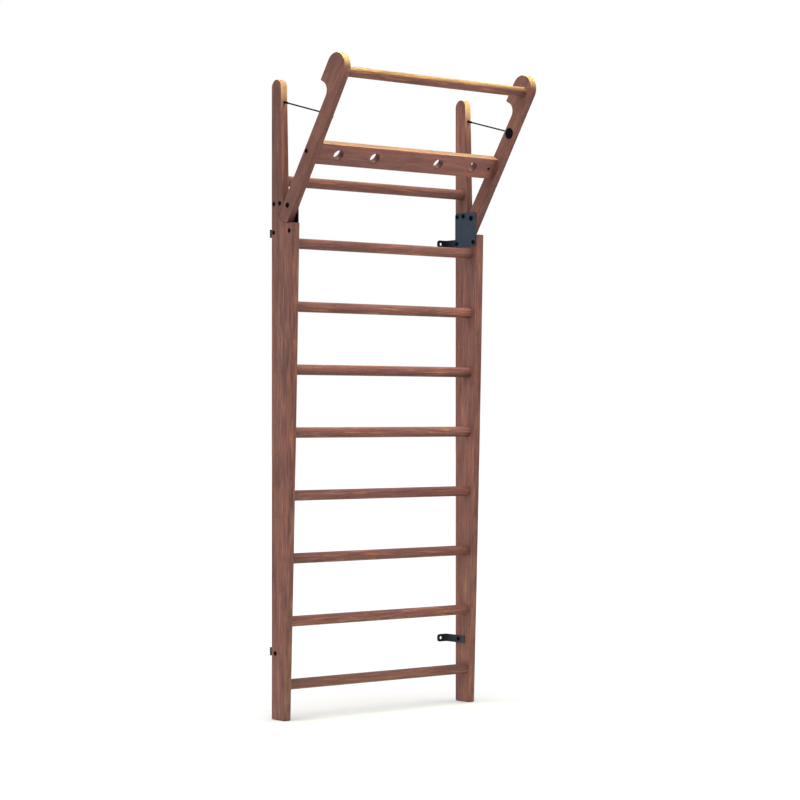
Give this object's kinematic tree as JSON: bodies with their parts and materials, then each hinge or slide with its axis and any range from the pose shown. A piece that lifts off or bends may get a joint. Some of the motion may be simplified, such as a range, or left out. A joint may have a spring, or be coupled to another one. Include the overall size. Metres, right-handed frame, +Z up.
{
  "type": "wall bars",
  "caption": "Swedish wall bars: wooden uprights carry round rungs, and a pull-up frame with a round bar and a drilled plank folds out on hinge plates, held by stay cables.",
  "frame": {"origin": "on the wall, at floor level, midway between the uprights", "axes": "+Z up, +X to the right as seen by a user who faces the part, +Y into the wall"},
  "size_m": [0.8062, 0.4319, 2.1019],
  "materials": {
    "upright_wood": "satin walnut stain, open grain",
    "rung_wood": "satin walnut stain, turned",
    "arm_wood": "satin walnut stain, open grain",
    "beam_wood": "satin walnut stain, open grain",
    "coated_steel": "dark blue-grey powder coat",
    "black_steel": "black oxide",
    "wire_rope": "black wire rope",
    "bush_bronze": "plain bearing bronze",
    "cap_plastic": "black moulded plastic"
  },
  "bodies": {
    "wall_frame": {"left_upright": "upright_wood", "right_upright": "upright_wood", "rung_1": "rung_wood", "rung_2": "rung_wood", "rung_3": "rung_wood", "rung_4": "rung_wood", "rung_5": "rung_wood", "rung_6": "rung_wood", "rung_7": "rung_wood", "rung_8": "rung_wood", "rung_9": "rung_wood", "left_hinge_plate": "coated_steel", "right_hinge_plate": "coated_steel", "left_plate_bolt_1": "black_steel", "right_plate_bolt_1": "black_steel", "left_plate_nut_1": "black_steel", "right_plate_nut_1": "black_steel", "left_plate_bolt_2": "black_steel", "right_plate_bolt_2": "black_steel", "left_plate_nut_2": "black_steel", "right_plate_nut_2": "black_steel", "left_plate_bolt_3": "black_steel", "right_plate_bolt_3": "black_steel", "left_plate_nut_3": "black_steel", "right_plate_nut_3": "black_steel", "left_plate_bolt_4": "black_steel", "right_plate_bolt_4": "black_steel", "left_plate_nut_4": "black_steel", "right_plate_nut_4": "black_steel", "left_bracket_bolt": "black_steel", "right_bracket_bolt": "black_steel", "left_bracket_nut": "black_steel", "right_bracket_nut": "black_steel", "left_pivot_bolt": "black_steel", "right_pivot_bolt": "black_steel", "left_pivot_nut": "black_steel", "right_pivot_nut": "black_steel", "lower_left_bracket": "coated_steel", "lower_right_bracket": "coated_steel", "left_stay_anchor": "black_steel", "right_stay_anchor": "black_steel", "left_stay_cable": "wire_rope", "right_stay_cable": "wire_rope"},
    "pull_up_frame": {"left_arm": "arm_wood", "right_arm": "arm_wood", "left_pivot_bush": "bush_bronze", "right_pivot_bush": "bush_bronze", "pull_up_bar": "rung_wood", "crossbeam": "beam_wood", "left_crossbeam_bolt": "black_steel", "right_crossbeam_bolt": "black_steel", "left_crossbeam_nut": "black_steel", "right_crossbeam_nut": "black_steel", "left_stay_stop": "black_steel", "right_stay_stop": "black_steel", "left_arm_cap": "cap_plastic", "right_arm_cap": "cap_plastic"}
  },
  "joints": [
    {"name": "fold", "type": "hinge", "parent": "wall_frame", "child": "pull_up_frame", "pos_m": [0, -0.1332, 1.6454], "axis": [-1, 0, 0], "range_deg": [0, 36.5], "deforming": ["left_stay_cable", "right_stay_cable"]}
  ]
}
